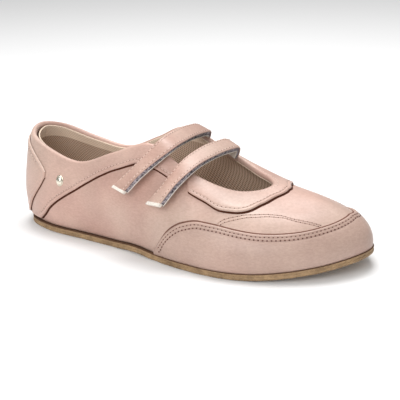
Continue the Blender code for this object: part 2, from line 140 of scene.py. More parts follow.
# Edges of the panels as the rise at a number of stations from the toe tip, alike on both sides
GUARD_EDGE = (
    (0.0, 0.450), (0.8, 0.408), (1.3, 0.400), (2.1, 0.425), (2.6, 0.450), (3.1, 0.469), (3.5, 0.463),
    (4.0, 0.400), (4.25, 0.338), (4.5, 0.244), (4.7, 0.138), (4.9, 0.050), (5.6, 0.030), (10.0, 0.030),
)
COLLAR_EDGE = (
    (0.0, 0.900), (0.8, 0.875), (1.6, 0.794), (2.2, 0.688), (2.5, 0.656), (2.9, 0.644), (3.3, 0.694),
    (3.75, 0.725), (4.0, 0.772), (4.4, 0.769), (4.85, 0.778), (5.4, 0.812), (5.9, 0.806), (6.4, 0.763),
    (6.8, 0.680), (7.2, 0.550), (7.6, 0.400), (7.9, 0.275), (8.2, 0.130), (8.45, 0.050), (10.0, 0.050),
)
COUNTER_EDGES = (
    # stations from the heel seam, low, high
    (0.0, 0.080, 0.930), (0.6, 0.080, 0.915), (1.0, 0.090, 0.885), (1.2, 0.180, 0.862), (1.4, 0.275, 0.825),
    (1.6, 0.375, 0.782), (1.8, 0.490, 0.725), (1.94, 0.600, 0.670),
)
GUARD_END = 4.85
GUARD_ROWS = (0.0018, 0.0038)
THROAT_END = 3.8
COLLAR_END = 4.0

# Ends of the seams in stations from the toe or the heel, and the counter seam's drop in rise
GUARD_SEAM_END = 4.72
QUARTER_SEAM_START = 1.66
COUNTER_SEAM_ENDS = (0.1, 1.55)
COUNTER_SEAM_DROP = 0.055

# Where each strap lies: the places of its lateral part, as station, rise and lift in shares of STRAP_WIDTH,
# its two crossings of the topline, how far it lies above the lateral topline and stands above the medial one
STRAP_ROUTES = {
    "strap_rear": {
        "lateral": ((4.34, 0.590, 0.60), (4.67, 0.690, 0.57), (4.95, 0.783, 0.53)),
        "crossings": (5.45, 14.25),
        "lies": 0.0056,
        "stands": 0.0044,
    },
    "strap_front": {
        "lateral": ((5.36, 0.500, 0.60), (5.59, 0.616, 0.57), (5.76, 0.718, 0.53)),
        "crossings": (6.35, 13.12),
        "lies": 0.0056,
        "stands": 0.0084,
    },
}
STUD_PLACE = (2.44, 0.64)

# Stitched arcs on the vamp, in stations and rise, and the step in rise between their two rows
VAMP_ARC = ((6.95, 0.490), (7.14, 0.550), (7.44, 0.606), (7.80, 0.650), (8.20, 0.663), (8.50, 0.638),
            (8.74, 0.562), (8.96, 0.500), (9.12, 0.440))
VAMP_ROW_STEP = 0.032

# Creases in the satin: from one place to another, half width and depth in mm, ridges below zero
CREASES = (
    # station_a, rise_a, station_b, rise_b, half_width, depth
    (4.3, 0.16, 4.9, 0.42, 6.0, 1.05),
    (3.4, 0.22, 3.9, 0.52, 7.0, 0.90),
    (6.2, 0.52, 6.9, 0.60, 5.0, 0.75),
    (2.5, 0.30, 3.2, 0.36, 6.0, 0.75),
    (8.6, 0.70, 9.6, 0.66, 6.0, 0.75),
    (6.4, 0.12, 7.3, 0.20, 6.0, -0.75),
    (15.4, 0.25, 16.0, 0.50, 7.0, 0.90),
    (13.9, 0.35, 14.6, 0.45, 6.0, 0.90),
    (0.6, 0.25, 1.5, 0.18, 5.0, 0.60),
    (19.2, 0.30, 18.6, 0.45, 5.0, 0.60),
    (3.9, 0.50, 4.5, 0.62, 4.5, 0.90),
    (5.0, 0.14, 5.3, 0.40, 5.0, 0.75),
    (1.9, 0.80, 2.6, 0.88, 4.0, 0.60),
    (7.4, 0.80, 8.4, 0.84, 5.0, 0.60),
)

# The photograph's camera
CAMERA_AZIMUTH = math.radians(32.25)
CAMERA_ELEVATION = math.radians(18.6)
CAMERA_ROLL = math.radians(1.22)
CAMERA_DISTANCE = 0.650
CAMERA_LENS = 94.5
CAMERA_AIM = (0.1334, 0.0, 0.0277)

# Studio light
WORLD_STRENGTH = 0.68
TABLE_GLOW = 0.05
STUDIO_LIGHTS = (
    # name, place, width, height, watts
    ("overhead", (-0.12, 0.26, 0.98), 0.6, 0.5, 10),
    ("front", (0.10, -1.0, 0.60), 0.9, 0.5, 7.5),
)


def unit(vectors):
    return vectors / np.linalg.norm(vectors, axis=-1, keepdims=True)


SCALES = (
    LAST_LENGTH, BALL_WIDTH, BALL_WIDTH, HEEL_TOP, BALL_WIDTH, HEEL_TOP, LAST_LENGTH, LAST_LENGTH, BALL_WIDTH,
)
LAST = np.array([
    (*(share * scale for share, scale in zip(row, SCALES)), row[9] * row[10]) for row in SECTIONS
])
SPRING_START = 0.70 * LAST_LENGTH
ARCH_START = 0.36 * LAST_LENGTH
ARCH_END = 0.52 * LAST_LENGTH


def round_the_last(station):
    """All columns of the last at a station, on a smooth closed curve through the sections."""
    place = np.asarray(station, float)
    whole = np.floor(place).astype(int)
    part = (place - whole)[..., None]
    a, b, c, d = (LAST[(whole + k) % STATIONS] for k in (-1, 0, 1, 2))
    return 0.5 * (
        2 * b + (c - a) * part + (2 * a - 5 * b + 4 * c - d) * part**2 + (3 * b - a - 3 * c + d) * part**3
    )


def hermite(x, y, slope, places):
    """A smooth curve through points with a given slope at each, read at places."""
    places = np.clip(np.asarray(places, float), x[0], x[-1])
    i = np.clip(np.searchsorted(x, places) - 1, 0, len(x) - 2)
    width = x[i + 1] - x[i]
    t = (places - x[i]) / width
    return (
        (2 * t**3 - 3 * t**2 + 1) * y[i]
        + (t**3 - 2 * t**2 + t) * width * slope[i]
        + (3 * t**2 - 2 * t**3) * y[i + 1]
        + (t**3 - t**2) * width * slope[i + 1]
    )


def table_curve(table, places):
    """A smooth curve through a table's two columns that never swings past its points."""
    x, y = np.array(table, float).T
    rise = np.diff(y) / np.diff(x)
    product = rise[:-1] * rise[1:]
    total = np.where(product > 0, rise[:-1] + rise[1:], 1.0)
    middle = np.where(product > 0, 2 * product / total, 0.0)
    slope = np.concatenate([[rise[0]], middle, [rise[-1]]])
    return hermite(x, y, slope, places)


def run_length(points):
    """How far along a line each of its points lies."""
    gaps = np.linalg.norm(np.diff(points, axis=0), axis=1)
    return np.concatenate([[0], np.cumsum(gaps)])


def between(at, *grids):
    """Rows of some grids, read at places that may lie between two rows."""
    i = np.clip(np.floor(at).astype(int), 0, len(grids[0]) - 2)
    f = (at - i)[:, None]
    return [grid[i] * (1 - f) + grid[i + 1] * f for grid in grids]


def ease(across, amount):
    """Even places from 0 to 1, drawn towards both ends."""
    return across - amount * np.sin(2 * np.pi * across) / (2 * np.pi)


def smooth_path(points, count):
    """Evenly spaced rows on a smooth curve through points, whose first three columns are a place."""
    points = np.asarray(points, float)
    length = run_length(points[:, :3])
    slope = np.gradient(points, length, axis=0)
    places = np.linspace(0, length[-1], count)
    return np.stack([hermite(length, points[:, k], slope[:, k], places) for k in range(points.shape[1])], -1)


def ground_curve(x):
    toe = np.clip((x - SPRING_START) / (LAST_LENGTH - SPRING_START), 0, 1.1)
    arch = np.clip((x - ARCH_START) / (ARCH_END - ARCH_START), 0, 1)
    return TOE_SPRING * toe**1.8 + ARCH_LIFT * np.sin(np.pi * arch) ** 2


def feather_line(station, outset=0.0):
    """Points where the upper meets the sole, moved outwards in plan by outset, and the plan normals."""
    values = round_the_last(station)
    step = 0.02
    along = unit(round_the_last(station + step)[..., :2] - round_the_last(station - step)[..., :2])
    normal = np.stack([along[..., 1], -along[..., 0], np.zeros(along.shape[:-1])], -1)
    height = ground_curve(values[..., 0]) + SOLE_THICKNESS + SEAT_GAP
    points = np.stack([values[..., 0], values[..., 1], height], -1)
    return points + normal * np.asarray(outset)[..., None], normal


def sole_offset():
    """What takes a point of the last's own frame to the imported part's frame."""
    station = np.arange(80) / 4
    points, _ = feather_line(station, np.full_like(station, SOLE_MARGIN))
    low = np.array(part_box("outsole")[0])
    return np.array([low[0] - points[:, 0].min(), low[1] - points[:, 1].min(), low[2]])


OFFSET = sole_offset()


def wall_point(station, rise):
    """A point of the bare last's side: a quartic curve from the feather line to the topline."""
    station, rise = np.broadcast_arrays(np.asarray(station, float), np.asarray(rise, float))
    values = round_the_last(station)
    foot, normal = feather_line(station)
    low_out, low_up, high_out, high_up, lead = (values[..., k, None] for k in range(2, 7))
    low = foot + normal * low_out + UP * low_up
    high = foot + normal * high_out + UP * high_up
    top = values[..., 7:10]
    before_top = top - unit(top - high) * lead
    t = rise[..., None]
    s = 1 - t
    return s**4 * foot + 4 * s**3 * t * low + 6 * s**2 * t**2 * high + 4 * s * t**3 * before_top + t**4 * top


def wall_axes(station, rise):
    """Unit directions along the row, up the wall and out of it."""
    step = 0.01
    along = unit(wall_point(station + step, rise) - wall_point(station - step, rise))
    up = unit(wall_point(station, rise + step) - wall_point(station, rise - step))
    return along, up, unit(np.cross(along, up))


def crease_depth(points):
    """How far the creases push the satin in at some points of the last."""
    depth = np.zeros(points.shape[:-1])
    for station_a, rise_a, station_b, rise_b, half_width, amount in CREASES:
        a = wall_point(np.array(station_a), np.array(rise_a))
        b = wall_point(np.array(station_b), np.array(rise_b))
        run = b - a
        share = np.clip((points - a) @ run / (run @ run), 0, 1)
        away = np.linalg.norm(points - a - share[..., None] * run, axis=-1)
        fade = 0.35 + 0.65 * np.sin(np.pi * share)
        depth += amount * fade * np.exp(-((away / (half_width * MM)) ** 2))
    return depth * MM


def skin(station, rise, lift, creased=True):
    """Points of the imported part's frame, lifted off the last, with the satin's creases."""
    points = wall_point(station, rise)
    normal = wall_axes(station, rise)[2]
    depth = crease_depth(points) if creased else 0.0
    return points + normal * (np.asarray(lift) - depth)[..., None] + OFFSET


def collar_edge(station):
    return table_curve(COLLAR_EDGE, np.abs((station % STATIONS) - TOE))


def guard_edge(station):
    return table_curve(GUARD_EDGE, np.abs((station % STATIONS) - TOE))


def counter_low(station):
    return table_curve([row[:2] for row in COUNTER_EDGES], np.abs(station))


def counter_high(station):
    return table_curve([row[::2] for row in COUNTER_EDGES], np.abs(station))


def pace(start, stop, step):
    """Metres from one point to another for each unit of a step."""
    return np.linalg.norm(stop - start, axis=-1) / step


def top_rate(station):
    """Metres up the wall for one unit of rise, just under the topline."""
    step = 0.02
    top = np.ones_like(station)
    return pace(wall_point(station, top - step), wall_point(station, top), step)


def edge_rate(edge, station):
    """Metres across an edge for one unit of rise, with the edge's slant taken in."""
    step = 0.02
    at = edge(station)
    climb = pace(wall_point(station, at - step), wall_point(station, at + step), 2 * step)
    run = pace(wall_point(station - step, at), wall_point(station + step, at), 2 * step)
    slant = (edge(station + step) - edge(station - step)) / (2 * step) * climb / run
    return climb / np.sqrt(1 + slant**2)


# Modelling helpers


def choose(piece):
    """Makes a piece the only selected and active object."""
    if bpy.context.object and bpy.context.object.mode != "OBJECT":
        bpy.ops.object.mode_set(mode="OBJECT")
    bpy.ops.object.select_all(action="DESELECT")
    if piece:
        piece.select_set(True)
        bpy.context.view_layer.objects.active = piece


def thicken(piece, thickness=SATIN_CLOTH):
    """Gives a sheet its thickness, on its inner side."""
    choose(piece)
    bpy.ops.object.modifier_add(type="SOLIDIFY")
    modifier = piece.modifiers[-1]
    modifier.thickness = thickness
    modifier.offset = -1
    bpy.ops.object.modifier_apply(modifier=modifier.name)


def add_object(name, data):
    piece = bpy.data.objects.new(name, data)
    bpy.context.scene.collection.objects.link(piece)
    return piece


def weld(piece, distance=1e-5, turn_out=True, turn_over=False):
    choose(piece)
    bpy.ops.object.mode_set(mode="EDIT")
    bpy.ops.mesh.select_all(action="SELECT")
    bpy.ops.mesh.remove_doubles(threshold=distance)
    if turn_out:
        bpy.ops.mesh.normals_make_consistent(inside=False)
    if turn_over:
        bpy.ops.mesh.flip_normals()
    bpy.ops.object.mode_set(mode="OBJECT")


def join(name, pieces):
    choose(pieces[0])
    for piece in pieces[1:]:
        piece.select_set(True)
    bpy.ops.object.join()
    pieces[0].name = pieces[0].data.name = name
    return pieces[0]


def lay_grid(name, columns, rows, place, cloth):
    """A grid whose points go where place(across, up) says, with its UV map in metres of cloth."""
    choose(None)
    bpy.ops.mesh.primitive_grid_add(x_subdivisions=columns, y_subdivisions=rows, size=2)
    piece = bpy.context.object
    piece.name = piece.data.name = name
    mesh = piece.data
    flat = np.empty(len(mesh.vertices) * 3)
    mesh.vertices.foreach_get("co", flat)
    across, up = (flat.reshape(-1, 3)[:, k] / 2 + 0.5 for k in (0, 1))
    corner = np.empty(len(mesh.loops), int)
    mesh.loops.foreach_get("vertex_index", corner)
    uv = np.stack([across[corner] * cloth[0], up[corner] * cloth[1]], -1)
    mesh.uv_layers.active.data.foreach_set("uv", uv.ravel())
    mesh.vertices.foreach_set("co", place(across, up).ravel())
    mesh.update()
    return piece


def dress(piece, material, slot, *nodes):
    """Shades a finished piece smooth, gives it its material and body, and hides the imported nodes that it
    stands for. Its slot is not used.
    """
    choose(piece)
    bpy.ops.object.shade_smooth()
    if material:
        piece.data.materials.clear()
        piece.data.materials.append(material)
    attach(piece, "root")
    if nodes:
        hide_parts(*nodes)
    return piece


# Materials


WHITE = (1.0, 1.0, 1.0)
WEFT_SHADE = (0.86, 0.84, 0.83)
MATT = 0.88
SATIN_GLOSS = {"Sheen Weight": 0.08, "Sheen Roughness": 0.35, "Coat Weight": 0.10, "Coat Roughness": 0.32}


def new_material(name, colour, roughness, metallic=0.0):
    """A shader with a plain colour. The roughest finishes are nearly without gloss."""
    material = bpy.data.materials.new(name)
    material.use_nodes = True
    shader = material.node_tree.nodes["Principled BSDF"]
    shader.inputs["Base Color"].default_value = (*colour, 1)
    shader.inputs["Roughness"].default_value = roughness
    shader.inputs["Metallic"].default_value = metallic
    shader.inputs["Specular IOR Level"].default_value = 0.5 if roughness < MATT else 0.1
    return material, material.node_tree, shader


def add_node(tree, kind, **inputs):
    """A node with some of its inputs set or linked, by name with spaces as underscores."""
    node = tree.nodes.new(kind)
    for key, value in inputs.items():
        socket = node.inputs[key.replace("_", " ")]
        if isinstance(value, bpy.types.NodeSocket):
            tree.links.new(value, socket)
        else:
            socket.default_value = value
    return node


def object_place(tree):
    return add_node(tree, "ShaderNodeTexCoord").outputs["Object"]


def noise(tree, vector, scale, detail=2.0, roughness=0.5):
    settings = {"Vector": vector, "Scale": scale, "Detail": detail, "Roughness": roughness}
    return add_node(tree, "ShaderNodeTexNoise", **settings).outputs["Fac"]


def stretch(tree, vector, scale, turn=0.0):
    mapping = add_node(tree, "ShaderNodeMapping", Vector=vector, Scale=scale, Rotation=(0, 0, turn))
    return mapping.outputs["Vector"]


def ramp(tree, value, *stops):
    """A colour that changes with a value, from stop to stop."""
    node = add_node(tree, "ShaderNodeValToRGB", Fac=value)
    elements = node.color_ramp.elements
    while len(elements) < len(stops):
        elements.new(0.5)
    for element, (place, colour) in zip(elements, stops):
        element.position = place
        element.color = (*colour, 1)
    return node.outputs["Color"]


def multiply(tree, factor, first, second):
    """One colour multiplied by another, by a factor from 0 to 1."""
    node = tree.nodes.new("ShaderNodeMix")
    node.data_type = "RGBA"
    node.blend_type = "MULTIPLY"
    node.inputs[0].default_value = factor
    tree.links.new(first, node.inputs[6])
    tree.links.new(second, node.inputs[7])
    return node.outputs[2]


def add_height(tree, first, second, share=1.0):
    """A height with a share of a second one on top."""
    node = tree.nodes.new("ShaderNodeMath")
    node.operation = "MULTIPLY_ADD"
    tree.links.new(second, node.inputs[0])
    node.inputs[1].default_value = share
    tree.links.new(first, node.inputs[2])
    return node.outputs[0]


def finish(tree, shader, colour, height, strength, distance):
    """Links a colour and the bump of a height to a shader."""
    tree.links.new(colour, shader.inputs["Base Color"])
    bump = add_node(tree, "ShaderNodeBump", Height=height, Strength=strength, Distance=distance)
    tree.links.new(bump.outputs["Normal"], shader.inputs["Normal"])


def satin_material(name, colour, shade):
    """Warp-faced satin: long fine floats along the cloth, a soft sheen, faint clouds and a drift in hue."""
    material, tree, shader = new_material(name, colour, 0.40)
    for key, value in SATIN_GLOSS.items():
        shader.inputs[key].default_value = value
    place = add_node(tree, "ShaderNodeTexCoord").outputs
    tone = ramp(tree, noise(tree, place["Object"], 28.0, 3.0), (0.34, shade), (0.66, colour))
    hue = ramp(
        tree, noise(tree, place["Object"], 16.0), (0.36, (1.0, 0.93, 0.91)), (0.64, (0.95, 1.0, 0.98))
    )
    slub = noise(tree, stretch(tree, place["Object"], (1, 1, 2.2)), 520.0, 3.0, 0.6)
    floats = noise(tree, stretch(tree, place["UV"], (700, 3600, 1)), 1.0, 3.0, 0.6)
    tone = multiply(tree, 0.9, tone, hue)
    tone = multiply(tree, 0.8, tone, ramp(tree, slub, (0.35, WEFT_SHADE), (0.65, WHITE)))
    tone = multiply(tree, 0.55, tone, ramp(tree, floats, (0.30, WEFT_SHADE), (0.70, WHITE)))
    rough = add_node(tree, "ShaderNodeMapRange", Value=floats, To_Min=0.38, To_Max=0.56)
    tree.links.new(rough.outputs["Result"], shader.inputs["Roughness"])
    grain = noise(tree, place["Object"], 420.0)
    finish(tree, shader, tone, add_height(tree, floats, grain, 0.8), 0.35, 0.00012)
    return material


def twill_material(name, colour, shade):
    """Cotton twill: ribs about 1.5 mm apart, crossed by fainter ones."""
    material, tree, shader = new_material(name, colour, 0.92)
    place = add_node(tree, "ShaderNodeTexCoord").outputs
    ribs = []
    for degrees in (45, -38):
        way = stretch(tree, place["UV"], (1, 1, 1), math.radians(degrees))
        wave = add_node(tree, "ShaderNodeTexWave", Vector=way, Scale=210.0, Distortion=1.5, Detail=2.0)
        ribs.append(wave.outputs["Fac"])
    rib = add_node(tree, "ShaderNodeMix", Factor=0.38, A=ribs[0], B=ribs[1]).outputs["Result"]
    cloud = ramp(tree, noise(tree, place["Object"], 40.0), (0.3, (0.86, 0.84, 0.82)), (0.7, WHITE))
    tone = multiply(tree, 0.8, ramp(tree, rib, (0.15, shade), (0.75, colour)), cloud)
    fuzz = noise(tree, place["Object"], 900.0)
    finish(tree, shader, tone, add_height(tree, rib, fuzz, 0.5), 0.7, 0.0003)
    return material


def gum_material():
    """Gum rubber: speckled amber brown in patches."""
    colour, shade = (0.42, 0.275, 0.145), (0.20, 0.120, 0.058)
    material, tree, shader = new_material("gum_rubber", colour, 0.62)
    place = object_place(tree)
    patch = noise(tree, place, 180.0, 5.0, 0.65)
    speck = noise(tree, place, 1400.0)
    dots = ramp(tree, speck, (0.35, (0.70, 0.66, 0.62)), (0.60, WHITE))
    tone = multiply(tree, 0.8, ramp(tree, patch, (0.30, shade), (0.62, colour)), dots)
    finish(tree, shader, tone, add_height(tree, patch, speck), 0.5, 0.0003)
    return material


def loop_tape_material():
    """The looped side of hook-and-loop tape: a greyish lilac fuzz."""
    colour, shade = (0.56, 0.50, 0.54), (0.060, 0.048, 0.062)
    material, tree, shader = new_material("loop_tape", colour, 0.95)
    shader.inputs["Sheen Weight"].default_value = 0.25
    place = object_place(tree)
    curls = add_node(tree, "ShaderNodeTexVoronoi", Vector=place, Scale=1500.0).outputs["Distance"]
    fuzz = noise(tree, place, 650.0, 4.0, 0.7)
    tone = ramp(tree, fuzz, (0.42, shade), (0.60, colour))
    finish(tree, shader, tone, add_height(tree, curls, fuzz), 1.0, 0.0005)
    return material


def plain_material(name, colour, roughness, metallic=0.0, speckle=600.0, depth=0.0001, spread=0.12):
    """A finish with a fine speckle in its colour and its surface."""
    material, tree, shader = new_material(name, colour, roughness, metallic)
    place = object_place(tree)
    grain = noise(tree, place, speckle, 3.0)
    dark = tuple(channel * (1 - 2 * spread) for channel in colour)
    finish(tree, shader, ramp(tree, grain, (0.3, dark), (0.7, colour)), grain, 0.4, depth)
    return material


SATIN = satin_material("satin", (0.62, 0.430, 0.362), (0.50, 0.330, 0.275))
SATIN_OVERLAY = satin_material("satin_overlay", (0.65, 0.460, 0.388), (0.53, 0.362, 0.305))
# A darker copy of the satin for the guard: painted shade for the dim sheen on the toe's front
SATIN_GUARD_SHADED = satin_material("satin_guard_shaded", (0.54, 0.362, 0.304), (0.43, 0.275, 0.228))
SATIN_STRAP = satin_material("satin_strap", (0.64, 0.455, 0.382), (0.44, 0.290, 0.238))
LINING = twill_material("lining_twill", (0.72, 0.55, 0.43), (0.28, 0.195, 0.138))
LINING_LIP = twill_material("lining_lip", (0.98, 0.84, 0.69), (0.72, 0.55, 0.42))
SOCK = twill_material("sock_twill", (0.36, 0.26, 0.19), (0.22, 0.15, 0.11))
GUM = gum_material()
LOOP_TAPE = loop_tape_material()
END_TAPE = plain_material("end_tape", (0.84, 0.78, 0.70), 0.85, 0.0, 1200.0, 0.0003)
# Painted shadow: a dark brown strip under the overlays' edges, together with their dark cut edge
EDGE_SHADOW = plain_material("edge_shadow", (0.085, 0.028, 0.016), 0.95)
# Painted shadow: a thin brown line along the toe guard's upper edge
GUARD_EDGE_SHADOW = plain_material("guard_seam", (0.20, 0.105, 0.080), 0.95)
# Painted shadow where the upper meets the sole: dark brown on the sole's top ledge
SOLE_JOIN_SHADOW = plain_material("sole_join_shadow", (0.13, 0.070, 0.042), 0.95)
THREAD_PINK = plain_material("thread_pink", (0.80, 0.63, 0.54), 0.55, 0.0, 2500.0, 0.00008)
THREAD_SHADE = plain_material("thread_shade", (0.44, 0.28, 0.22), 0.6, 0.0, 2500.0, 0.00008)
# Painted shade: dark dots for the shadow inside the needle holes
NEEDLE_HOLE_SHADE = plain_material("needle_hole_shade", (0.13, 0.06, 0.05), 0.9)
STUD_METAL = plain_material("stud_metal", (0.80, 0.76, 0.64), 0.28, 1.0, 900.0, 0.00002, 0.04)


# Cloth panels on the last

# Rows of a panel by their distance from its edge. Those below zero lie outside it, as a dark strip of painted
# shadow under its edge.
FINE_ROWS = np.array([
    -0.95, -0.50, -0.06, 0.0, 0.10, 0.28, 0.55, 0.85, 1.2, 1.6, 2.0, 2.4, 2.8, 3.2, 3.6, 4.3, 5.2, 6.3,
]) * MM
# The first rows of faces, below and at the edge, take the painted shadow and lie just off the wall
SHADOW_ROWS = 4
SHADOW_LIFT = 0.00006
BODY_ROWS = 10
RIM_ROWS = 8
LIP_ROWS = 6
FOLD_ROWS = 3
EDGE_ROUNDING = 0.0011
EDGE_SEAT = 0.0002
END_ROUNDING = 0.0020
SEAM_INSET = 0.0026
TOP_SEAM_INSET = 0.0032


def rounded(distance, radius):
    """Goes from 0 to 1 as a quarter circle over a radius from an edge."""
    t = np.clip(distance / radius, 0, 1)
    return np.sqrt(np.clip(1 - (1 - t) ** 2, 0, 1))


def row_distance(row, room):
    """How far a panel's rows lie from its edge, drawn together where there is little room."""
    squeeze = np.minimum(1.0, room / FINE_ROWS[-1])
    return FINE_ROWS[np.minimum(row, len(FINE_ROWS) - 1)] * squeeze


def two_tone(piece, columns, rows, main, other):
    """Gives a grid its main finish, and some rows of its faces another one."""
    row = np.arange(len(piece.data.polygons)) // columns
    piece.data.materials.append(main)
    piece.data.materials.append(other)
    piece.data.polygons.foreach_set("material_index", np.isin(row, rows).astype(int))


def seam_dip(distance, inset=SEAM_INSET, depth=0.00028):
    """The pull of a row of stitches on the cloth, with a slight pillow beside it."""
    groove = -depth * np.exp(-(((distance - inset) / 0.0007) ** 2))
    pillow = 0.00018 * np.exp(-(((distance - inset * 0.45) / 0.0009) ** 2))
    return groove + pillow


def rim_points(station, height, depth, rows):
    """Points round the topline's rim, from a height off the last to a depth inside it, and down inside."""
    top = np.ones_like(station)
    _, rising, normal = wall_axes(station, top)
    radius = (height + depth) / 2
    turn = (np.clip(rows / RIM_ROWS, 0, 1) * np.pi)[:, None]
    down = (np.clip((rows - RIM_ROWS) / FOLD_ROWS, 0, 1) * INSIDE_FOLD)[:, None]
    round_rim = (normal * np.cos(turn) + rising * (np.sin(turn) - 1)) * radius[:, None]
    return skin(station, top, height - radius) + round_rim - rising * down


def make_band(name, edge, first, last, columns, node):
    """A band from its lower edge up the wall, over the topline and a little way down inside."""
    fine = len(FINE_ROWS)
    body = fine + BODY_ROWS - 1
    total = body + RIM_ROWS + FOLD_ROWS
    depth = WALL + SATIN_CLOTH

    def place(across, up):
        station = first + (last - first) * ease(across, 0.9)
        row = np.rint(up * total).astype(int)
        low = edge(station)
        climb = pace(wall_point(station, low), wall_point(station, np.ones_like(station)), 1)
        distance = row_distance(row, 0.55 * climb)
        rise = low + distance / edge_rate(edge, station)
        highest = 1 - (OVERLAY_LIFT + depth) / 2 / top_rate(station)
        rise = rise + (highest - rise) * np.clip((row - fine + 1) / BODY_ROWS, 0, 1)
        near_end = np.minimum(station - first, last - station) * STATION_PITCH
        swell = rounded(distance, EDGE_ROUNDING) * rounded(near_end, END_ROUNDING)
        height = EDGE_SEAT + (OVERLAY_LIFT - EDGE_SEAT) * swell
        height = np.where(distance < 0, SHADOW_LIFT, height)
        height = height + np.where(row < fine, seam_dip(distance), 0.0)
        rim = rim_points(station, height, depth, row - body)
        return np.where((row > body)[:, None], rim, skin(station, rise, height))

    piece = lay_grid(name, columns, total, place, ((last - first) * STATION_PITCH, 0.045))
    # The rows below the band's edge are coloured dark as painted shadow
    two_tone(piece, columns, range(SHADOW_ROWS), SATIN_OVERLAY, EDGE_SHADOW)
    thicken(piece)
    return dress(piece, None, "satin", node)


def make_toe_guard():
    """The guard round the toe, from its seam down to the sole."""
    first, last = TOE - GUARD_END, TOE + GUARD_END
    columns, body, fine = 420, 16, len(FINE_ROWS)
    total = fine + body - 1

    def place(across, up):
        station = first + (last - first) * ease(across, 0.6)
        row = np.rint((1 - up) * total).astype(int)
        high = guard_edge(station)
        rate = edge_rate(guard_edge, station)
        distance = row_distance(row, 0.5 * high * rate)
        rise = (high - distance / rate) * (1 - np.clip((row - fine + 1) / body, 0, 1))
        height = EDGE_SEAT + (OVERLAY_LIFT - EDGE_SEAT) * rounded(distance, EDGE_ROUNDING)
        height = height + seam_dip(distance, GUARD_ROWS[0]) + seam_dip(distance, GUARD_ROWS[1], 0.00024)
        return skin(station, rise, np.where(distance < 0, SHADOW_LIFT, height))

    piece = lay_grid("toe_guard_satin", columns, total, place, (0.34, 0.03))
    # The guard's rows at and above its edge are coloured as painted shadow
    two_tone(piece, columns, range(total - SHADOW_ROWS + 1, total), SATIN_GUARD_SHADED, GUARD_EDGE_SHADOW)
    thicken(piece)
    return dress(piece, None, "satin", "toe_guard")


def make_heel_counter():
    """The counter over the back seam, with its edge rounded all the way round."""
    reach = COUNTER_EDGES[-1][0]

    def place(across, up):
        station = reach * np.sin((across - 0.5) * np.pi)
        t = 0.5 - 0.5 * np.cos(up * np.pi)
        low, high = counter_low(station), counter_high(station)
        rise = low + (high - low) * t
        below = (rise - low) * edge_rate(counter_low, station)
        above = (high - rise) * edge_rate(counter_high, station)
        beside = (reach - np.abs(station)) * HEEL_STATION_PITCH
        distance = np.minimum(np.minimum(below, above), beside)
        base = OVERLAY_LIFT + EDGE_SEAT
        height = base + (COUNTER_LIFT - base) * rounded(distance, EDGE_ROUNDING) + seam_dip(distance)
        return skin(station, rise, height)

    piece = lay_grid("heel_counter_satin", 130, 90, place, (0.085, 0.055))
    thicken(piece)
    return dress(piece, SATIN_OVERLAY, "satin", "heel_counter")


def counter_piping(name, points, normals, width, material):
    """A low rounded strip along a line on the last."""
    height = 0.0003
    along = unit(np.gradient(points, axis=0))
    side = unit(np.cross(normals, along))

    def place(across, up):
        p, s, n = between(across * (len(points) - 1), points, side, normals)
        bow = (up * 2 - 1)[:, None]
        return p + s * bow * width / 2 + n * (1 - bow**2) * height

    piece = lay_grid(name, 2 * len(points), 6, place, (0.1, width))
    return dress(piece, material, "satin", "heel_counter")


def counter_outline():
    """A strip of painted shadow under the counter's front edge, and a pale strip of painted highlight along
    its fold above, on both sides.
    """
    reach = COUNTER_EDGES[-1][0]
    for side, hand in ((-1, "medial"), (1, "lateral")):
        # The shadow strip is painted shadow; the fold strip, in the pale thread colour, is a painted
        # highlight
        for tag, edge, first, lift, width, material in (
            ("shadow", counter_low, 1.02, OVERLAY_LIFT + 0.0002, 0.0011, EDGE_SHADOW),
            ("fold", counter_high, 0.40, OVERLAY_LIFT + 0.0005, 0.0006, THREAD_PINK),
        ):
            station = np.linspace(first, reach, 60)
            line = wall_line(station * side, edge(station), lift)
            counter_piping(f"heel_counter_{tag}_{hand}", *line, width, material)


def make_upper():
    """The satin wall under the overlays, from the sole over the topline."""
    body = 56
    total = body + RIM_ROWS + FOLD_ROWS

    def place(across, up):
        station = across * STATIONS
        row = np.rint(up * total).astype(int)
        bare = np.zeros_like(station)
        rise = np.clip(row / body, 0, 1) * (1 - WALL / 2 / top_rate(station))
        rim = rim_points(station, bare, WALL, row - body)
        return np.where((row > body)[:, None], rim, skin(station, rise, bare))

    piece = lay_grid("upper_satin", 400, total, place, (0.56, 0.07))
    weld(piece, turn_out=False)
    thicken(piece)
    return dress(piece, SATIN, "satin", "upper")


def make_lining():
    """The twill lining: it stands away from the satin round the heel, and ends in a pale rolled lip."""
    body, lip, columns = 44, 7, 360

    def place(across, up):
        station = across * STATIONS
        row = np.rint(up * (body + lip)).astype(int)
        rise = np.clip(row / body, 0, 1)
        from_heel = np.minimum(station, STATIONS - station)
        heel = np.exp(-((from_heel / 2.2) ** 2))
        lean = LINING_LEAN * heel * np.clip((rise - 0.62) / 0.38, 0, 1) ** 1.5
        rumple = LINING_RUMPLE * np.sin(station * 5.1 + 3 * rise) * np.sin(station * 2.3 + 8 * rise)
        depth = LINING_DEPTH + lean + rumple * np.clip(1 - rise, 0, 0.6)
        top = 1 - (0.0012 + 0.0010 * heel) / top_rate(station)
        points = skin(station, rise * top, -depth, creased=False)
        turn = np.clip((row - body) / lip, 0, 1) * np.pi
        _, rising, normal = wall_axes(station, top)
        curl = normal * (1 - np.cos(turn))[:, None] + rising * np.sin(turn)[:, None]
        return points + np.where((row > body)[:, None], curl * LINING_ROLL, 0.0)

    piece = lay_grid("lining", columns, body + lip, place, (0.52, 0.07))
    two_tone(piece, columns, range(body - LIP_ROWS, body + lip), LINING, LINING_LIP)
    weld(piece, turn_out=False, turn_over=True)
    thicken(piece, LINING_CLOTH)
    return dress(piece, None, "lining", "upper")


